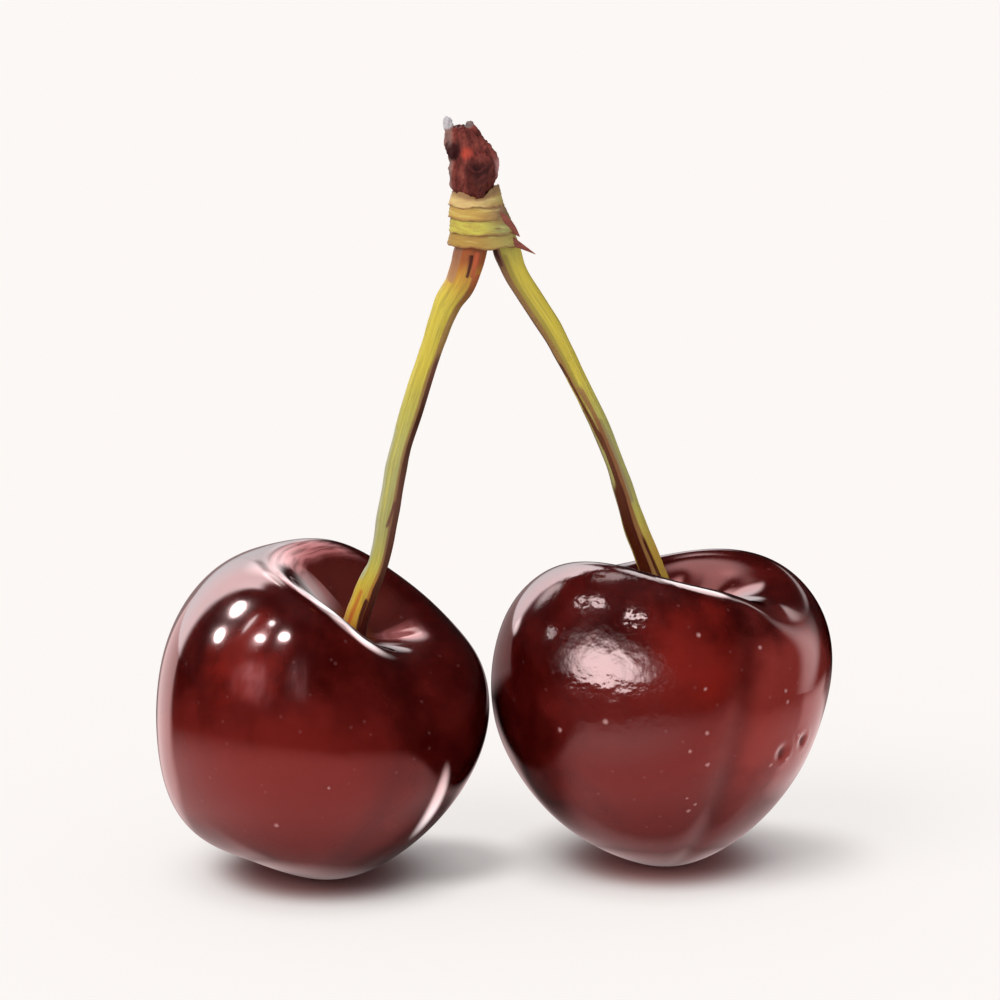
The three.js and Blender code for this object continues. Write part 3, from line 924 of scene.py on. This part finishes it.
def bark_material():
    """Woody bark in streaked reds, with a painted grey sheen along the left edge and painted highlights on
    and next to the big bud; the buds, tip and knob by place.
    """
    material = bpy.data.materials.new("spur_bark")
    n = Nodes(material)
    shader = n.node("Principled BSDF")

    def spot(bud, shift=(0, 0, 0)):
        return (SPUR_BASE + Vector(bud["at"]) + Vector(shift)) * MM

    parts = n.add("SeparateXYZ", {0: n.place}).outputs
    drawn_out = n.vector("MULTIPLY", n.place, (1, 1, 0.35))
    fibres = n.noise(1300, 5, 0.62, drawn_out)
    blots = n.noise(600, 4, 0.6)
    colour = n.ramp(fibres, BARK_TONES)
    # Painted sheen: a grey band along the lit left edge.
    left_edge_sheen = n.span(n.math("MULTIPLY_ADD", blots, 0.8 * MM, parts[0]), -2.75 * MM, -3.0 * MM, 0, 0.6)
    colour = n.blend(left_edge_sheen, colour, BARK_EDGE_SHEEN)
    right_flank = n.span(parts[0], -0.6 * MM, 0.6 * MM, 0, 0.5)
    colour = n.blend(right_flank, colour, BARK_PALE)
    # Painted highlight: an orange-red glint on the ridge above the big bud.
    colour = n.blend(n.near(spot(BIG_BUD, (-1.1, -0.3, 1.9)), 0.15, 0.75, 0.9), colour, BUD_RIDGE_HIGHLIGHT)
    cloud = n.warped(900, 0.6)
    upper = n.near(spot(BIG_BUD, (0, -0.2, 0.3)), 1.0, 1.6, 0.95, cloud)
    lower = n.near(spot(BIG_BUD, (0.2, -0.3, -1.2)), 0.6, 1.05, 0.95, cloud)
    depth = n.near(spot(BIG_BUD, (-0.1, -0.8, 0.7)), 0.2, 1.2, 1, cloud)
    bud_colour = n.blend(depth, BUD_OUTER, BUD_INNER)
    colour = n.blend(n.most(upper, lower), colour, bud_colour)
    # Painted highlight: a pinkish rim light on the right of the big bud.
    rim_highlight = n.near(spot(BIG_BUD, (1.5, 0.6, 0.75)), 0.3, 1.0, 0.85, cloud)
    colour = n.blend(rim_highlight, colour, BARK_RIM_HIGHLIGHT)
    from_bud_top = n.vector("DISTANCE", cloud, spot(BIG_BUD, (-0.3, -0.8, 1.3)), output=1)
    for reach in BUD_SCALE_EDGES:
        edge = n.between(from_bud_top, (reach - 0.06) * MM, (reach + 0.06) * MM, 0.12 * MM)
        edge = n.times(edge, n.near(spot(BIG_BUD), 1.4, 1.8, 0.6), n.span(blots, 0.42, 0.62))
        colour = n.blend(edge, colour, BUD_EDGE)
    # Painted highlight: a small orange glint low on the big bud.
    colour = n.blend(n.near(spot(BIG_BUD, (0.15, -0.9, -0.65)), 0.05, 0.35, 0.8), colour, BUD_GLINT)
    colour = n.blend(n.near(spot(SMALL_BUD), 0.6, 0.95, 0.93), colour, SMALL_BUD_TONE)
    paper = n.near(spot(PAPER_TIP, (-0.15, 0, 0.35)), 0.5, 0.75, 0.95)
    colour = n.blend(paper, colour, PAPER_TONE)
    colour = n.blend(n.near(spot(DRY_KNOB), 0.3, 0.5, 0.85), colour, KNOB_TONE)
    colour = n.blend(n.span(blots, 0.6, 0.8, 0, 0.4), colour, BARK_BLOT)
    n.set(
        shader,
        Base_Color=colour,
        Roughness=n.span(blots, 0.3, 0.7, 0.42, 0.66),
        Normal=n.bump(fibres, 0.12 * MM, 0.7),
    )
    return material


bm = bmesh.new()
add_bar(bm, above_base(WOOD), 48, 60, flatness=WOOD_FLATNESS)
add_bud(bm, BIG_BUD, point_down=0.72, scales=0.10)
add_bud(bm, SMALL_BUD, point_down=0.3, scales=0.10)
add_bud(bm, PAPER_TIP)
add_bud(bm, DRY_KNOB)
bm = fused(bm)
roughen_bark(bm)
spur = finish_piece(bm, "spur_tip", bark_material())
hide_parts("spur_wood")

# ---- The table ----
# A plain pale matte table top under the pair, wide enough to fill the view. In the fruits'
# gloss it shows a painted glow, a bright round of table that fades to the dark room in front.

TABLE_SIZE = 3.0
BOARD_TONE = (0.90, 0.872, 0.853)
TABLE_TONE = (0.973, 0.939, 0.913, 1)
TABLE_LIFT = 0.78
SHADOWS = [(22, 2, 4, 11), (-4, 1, 3, 8)]  # x, y, inner and outer reach in millimetres
RED_CONTACT_SHADOW = (0.30, 0.06, 0.055)
MIRRORED_TONE = (1, 0.74, 0.73, 1)
MIRRORED_FRONT = 0.54
FAR_FADE = (22, 54)
RIGHT_FADE = (20, 66)
SHADED_BEYOND = 6


def table_material():
    """The camera sees pale matte board lifted by a painted glow; the gloss sees a painted glow for how lamps
    and fruits light and shade it.
    """
    material = bpy.data.materials.new("pale_table")
    n = Nodes(material)
    shader = n.node("Principled BSDF")
    x, y, _ = n.add("SeparateXYZ", {0: n.vector("MULTIPLY", n.place, (1000, 1000, 1000))}).outputs
    rays = n.add("LightPath").outputs
    length = n.times(rays["Ray Length"], 1000)
    feet = [
        n.times(n.vector("DISTANCE", n.place, Vector((*fruit["centre"], 0)) * MM, output=1), 1000)
        for fruit in (LEFT_FRUIT, RIGHT_FRUIT)
    ]
    nearest = n.math("MINIMUM", *feet)
    # Painted contact shadow: the board turns dark red round each foot.
    colour = n.blend(n.span(nearest, 4, 9.5, 0.8, 0), BOARD_TONE, RED_CONTACT_SHADOW)
    n.set(shader, Base_Color=colour, Roughness=0.9, Specular_IOR_Level=0.1)

    # In front the painted glow of the lit board fades out along the ray, with painted shade near the feet and
    # between them.
    own_side = n.span(n.math("SUBTRACT", length, nearest), SHADED_BEYOND - 2, SHADED_BEYOND + 3, 1, 0)
    near_end, far_end = (n.span(x, -2, 8, *ends) for ends in zip(FAR_FADE, RIGHT_FADE))
    foot_ring = n.times(n.between(nearest, 3.0, 5.6, 2.4), 1.25)
    shaded = n.most(n.span(nearest, 7, 17, 0.36, 1), n.span(y, -8, -4, 0, 0.85))
    shaded = n.most(n.times(shaded, n.span(nearest, 3, 7)), foot_ring)
    gap = n.vector("DISTANCE", n.place, (-5 * MM, 1 * MM, 0), output=1)
    gap = n.span(gap, 5 * MM, 13 * MM, 0.16, 1)
    front = n.times(own_side, n.span(length, near_end, far_end, 1, 0), shaded, gap, MIRRORED_FRONT)

    # Behind, the painted glow shows in two wedges with slanting sides, left and right of the pair, and in two
    # faint bands between them.
    left_limit = n.math("MULTIPLY_ADD", y, 1.19, x)
    right_limit = n.math("MULTIPLY_ADD", y, 0.4, x)
    beyond_left = n.span(left_limit, -42, -30)
    back_left = n.times(beyond_left, n.span(right_limit, -30, -18, 1, 0), n.span(y, -4, 6, 0, 1.1), own_side)
    front_limit = n.math("MULTIPLY_ADD", x, -0.36, y)
    not_behind = n.span(n.math("MULTIPLY_ADD", y, -0.78, x), 18, 30)
    back_right = n.times(
        n.span(front_limit, -17, -9),
        n.span(x, 22, 30, 0, 0.85),
        n.most(not_behind, n.span(y, 30, 42, 1, 0)),
        n.span(nearest, 50, 80, 1, 0),
        own_side,
    )
    behind = n.most(n.span(x, -14, -6, 0.32, 0), n.times(n.between(x, 4, 22, 2), 0.25))
    behind = n.times(behind, n.span(y, 35, 55), beyond_left)
    lit = n.most(front, behind, back_left, back_right)
    # The board glows for glossy rays though it is no lamp: a painted reflection.
    mirrored = n.add("Emission", {"Color": MIRRORED_TONE, "Strength": lit})
    seen = n.add("Emission", {"Color": TABLE_TONE, "Strength": 1.0})
    # For the camera a painted glow lightens the board's shadows beyond the feet, less at the listed shadow
    # spots.
    lift = n.times(rays["Is Camera Ray"], n.span(nearest, 6, 14, 0, TABLE_LIFT))
    for shadow_x, shadow_y, inner, outer in SHADOWS:
        shadow = n.near((shadow_x * MM, shadow_y * MM, 0), inner, outer, 0.6)
        lift = n.times(lift, n.math("SUBTRACT", 1, shadow))
    board = n.add("MixShader", {0: lift, 1: shader.outputs[0], 2: seen.outputs[0]})
    mix = n.add("MixShader", {0: rays["Is Glossy Ray"], 1: board.outputs[0], 2: mirrored.outputs[0]})
    n.feed(n.node("Material Output").inputs["Surface"], mix.outputs[0])
    return material


bm = bmesh.new()
bmesh.ops.create_grid(bm, x_segments=1, y_segments=1, size=TABLE_SIZE)
mesh = bpy.data.meshes.new("table")
bm.to_mesh(mesh)
bm.free()
mesh.materials.append(table_material())
table = bpy.data.objects.new("table", mesh)
bpy.context.scene.collection.objects.link(table)

# ---- The light ----
# A pale room with soft light from all round and one broad lamp high at the upper left in
# front. In the gloss the room is dark, with tall windows behind and small lamps in front.

KEY_FROM = Vector((-0.49, -0.49, 0.73))
STRAIGHT_BACK = (0, 0.966, -0.259)
ROOM_TONE = (0.985, 0.965, 0.985, 1)
ROOM_LIGHT = 0.73
GLOW_ANGLE = 66
CLOTH_TONE = (1, 0.62, 0.64)

key_data = bpy.data.lights.new("key", "SUN")
key_data.energy = 1.7
key_data.angle = math.radians(38)
key_data.color = (1, 0.98, 0.96)
key = bpy.data.objects.new("key", key_data)
bpy.context.scene.collection.objects.link(key)
key.rotation_euler = KEY_FROM.to_track_quat("Z", "Y").to_euler()
key.visible_glossy = False


def light_room():
    """Plain soft light all round, but in the gloss a dark room with two windows at the back."""
    world = bpy.data.worlds.new("room")
    bpy.context.scene.world = world
    n = Nodes(world)
    towards = n.add("TexCoord").outputs["Generated"]
    x, y, z = n.add("SeparateXYZ", {0: towards}).outputs
    azimuth = n.math("DEGREES", n.math("ARCTAN2", x, y))
    elevation = n.math("DEGREES", n.math("ARCSINE", z))

    def window(left, right, low, high, edge, strength):
        across = n.between(azimuth, left, right, edge)
        upright = n.between(elevation, low, high, edge)
        return n.times(across, upright, strength)

    room = n.most(window(-50, -8, -30, 48.5, 3.5, 1), window(-12, 2, -30, 18, 3, 1))
    off_back = n.vector("DOT_PRODUCT", towards, STRAIGHT_BACK, output=1)
    off_back = n.math("DEGREES", n.math("ARCCOSINE", off_back))
    glow = n.math("POWER", n.math("DIVIDE", off_back, GLOW_ANGLE), 1.6)
    room = n.times(room, n.math("MULTIPLY_ADD", glow, 2.9, 0.4))
    room = n.most(room, n.span(elevation, 50, 75, 0.01, 0.05))
    rays = n.add("LightPath").outputs
    sockets = {0: rays["Is Glossy Ray"], 2: ROOM_LIGHT, 3: room}
    strength = n.add("Mix", sockets, data_type="FLOAT").outputs[0]
    n.set(n.node("Background"), Color=ROOM_TONE, Strength=strength)


light_room()


def add_lamp(piece, name, aim, azimuth, elevation, width, height, roll, power, soft, distance=400, folds=0):
    """A soft-edged lamp that one fruit mirrors, seen from aim (mm) that way; sizes in degrees.

    With folds it is square-cornered and hung with cloth, whose folds dim it in streaks.
    """
    lamp_data = bpy.data.lights.new(name, "AREA")
    lamp_data.shape = "RECTANGLE" if folds else "ELLIPSE"
    lamp_data.size = 2 * distance * MM * math.tan(math.radians(width / 2))
    lamp_data.size_y = 2 * distance * MM * math.tan(math.radians(height / 2))
    lamp_data.energy = power * math.pi**2 / 4 * lamp_data.size * lamp_data.size_y
    n = Nodes(lamp_data)
    inside = n.add("NewGeometry").outputs["Parametric"]
    inside = n.vector("MULTIPLY", n.vector("SUBTRACT", inside, (0.5, 0.5, 0)), (2, 2, 0))
    if folds:
        lamp_data.energy *= 4 / math.pi
        lamp_data.color = CLOTH_TONE
        across, upright, _ = n.add("SeparateXYZ", {0: n.vector("ABSOLUTE", inside)}).outputs
        edges = (n.span(part, 1 - soft, 1, 1, 0) for part in (across, upright))
        hanging = n.noise(folds, 3, 0.6, n.vector("MULTIPLY", inside, (1, 0.3, 0)))
        strength = n.times(*edges, n.span(hanging, 0.36, 0.62, 0.25, 1))
    else:
        strength = n.span(n.vector("LENGTH", inside, output=1), 1 - soft, 1, 1, 0)
    n.feed(n.node("Emission").inputs["Strength"], strength)
    lamp = bpy.data.objects.new(name, lamp_data)
    bpy.context.scene.collection.objects.link(lamp)
    across, up = math.radians(azimuth), math.radians(elevation)
    way = Vector((math.sin(across) * math.cos(up), math.cos(across) * math.cos(up), math.sin(up)))
    facing = way.to_track_quat("Z", "Y").to_matrix() @ Matrix.Rotation(math.radians(roll), 3, "Z")
    lamp.matrix_world = Matrix.Translation((Vector(aim) + way * distance) * MM) @ facing.to_4x4()
    lamp.visible_camera = False
    lamp.visible_diffuse = False
    receivers = bpy.data.collections.new(f"{name}_receivers")
    receivers.objects.link(piece)
    lamp.light_linking.receiver_collection = receivers


# Name, aim, azimuth (0 is straight back, 90 right), elevation, width, height, roll, power, soft
# edge as a share, and then distance (mm) and folds where they aren't the usual.
LEFT_LAMPS = [
    ("bulb_a", (-20.0, -8.7, 23.9), -71, 36, 12, 8.5, 0, 30, 0.3),
    ("bulb_b", (-21.4, -9.2, 22.0), -79, 25, 9, 7, 0, 30, 0.3),
    ("bulb_c", (-18.1, -11.5, 22.4), -113, 36, 11, 4, 0, 22, 0.4),
    ("bulb_d", (-16.2, -12.1, 22.7), -137, 40, 13, 6, 0, 24, 0.3),
    ("bulb_e", (-17.2, -11.2, 23.5), -112, 44, 7, 4, 0, 14, 0.4),
    ("slit_f", (-18.9, -10.3, 23.3), -93, 38, 4, 12, 20, 5, 0.5),
    ("bulb_g", (-6.7, -1.3, 19.8), -12, 49, 6, 6, 0, 3, 0.5),
    ("low_h", (-15.4, -13.6, 20.0), -164, 22, 26, 22, 0, 0.6, 0.8, 400, 3),
    ("low_i", (-19.2, -12.4, 19.6), -124, 16, 46, 30, 0, 0.7, 0.9, 400, 4),
    ("low_j", (-19.6, -12.2, 19.6), -124, 21, 26, 14, 0, 0.8, 0.8, 400, 3),
    ("wall_k", (-15.4, -5.0, 25.3), 14, 25, 50, 38, 0, 2.2, 0.7, 14, 5),
    ("crescent_l", (-4.5, -9.7, 8.8), 51, -40, 26, 92, 49, 3.2, 0.7, 6),
    ("crest_m", (-17.2, -7.4, 25.9), -4, 38, 34, 30, 0, 2.0, 0.5, 8),
    ("crest_n", (-18.0, -6.0, 26.1), -6, 30, 60, 44, 0, 1.3, 0.9, 8),
    ("crest_o", (-16.8, -6.4, 26.0), 7, 15, 40, 34, 0, 1.0, 0.6, 8),
    ("crest_p", (-14.0, -9.2, 24.8), 13, 10, 44, 62, 0, 1.5, 0.6, 8),
    ("crest_q", (-12.7, -10.1, 23.9), 21, 16, 50, 64, 0, 1.4, 0.6, 6),
    ("crest_r", (-11.3, -10.5, 22.7), 32, 18, 50, 64, 0, 1.6, 0.6, 6),
    ("crest_s", (-10.2, -10.2, 21.8), 31, 13, 42, 50, 0, 2.4, 0.6, 6),
]
RIGHT_LAMPS = [
    ("patch_a", (9.0, -10.0, 19.5), -150, 6, 70, 34, 0, 4.4, 0.7),
    ("patch_b", (9.0, -10.0, 19.7), -150, 8, 96, 48, 0, 0.9, 0.9),
    ("spark_c", (7.4, -7.5, 24.2), -130, 45, 22, 12, 0, 5, 0.6),
    ("spark_d", (7.4, -7.5, 24.2), -110, 40, 16, 9, 0, 5, 0.6),
    ("spark_e", (11.3, -9.0, 23.2), -175, 42, 20, 9, 30, 6, 0.5),
    ("side_f", (3.0, -3.3, 23.3), -60, 26, 20, 26, 0, 2.0, 0.6),
    ("side_g", (3.0, -3.3, 21.3), -51, 3, 10, 8, 0, 2.0, 0.6),
    ("side_h", (4.3, -7.0, 21.3), -96, 14, 12, 5, 0, 3, 0.6),
    ("rim_i", (15.5, -6.0, 24.7), 20, 26, 40, 40, 0, 3.0, 0.4, 14),
    ("rim_j", (11.3, -6.3, 25.85), 13, 40, 52, 36, 0, 2.2, 0.6, 8),
    ("cup_k", (16.5, 6.7, 21.8), -40, 73, 50, 30, 0, 1.6, 0.7),
    ("side_l", (24.5, 5.0, 21.6), 24, 20, 22, 10, 0, 0.8, 0.6),
    ("band_m", (24.6, -3.5, 17.8), 57, 1, 30, 76, -40, 0.95, 0.75, 60),
]
for lamp in LEFT_LAMPS:
    add_lamp(cherry_left, *lamp)
for lamp in RIGHT_LAMPS:
    add_lamp(cherry_right, *lamp)

bpy.context.scene.view_settings.view_transform = "Standard"
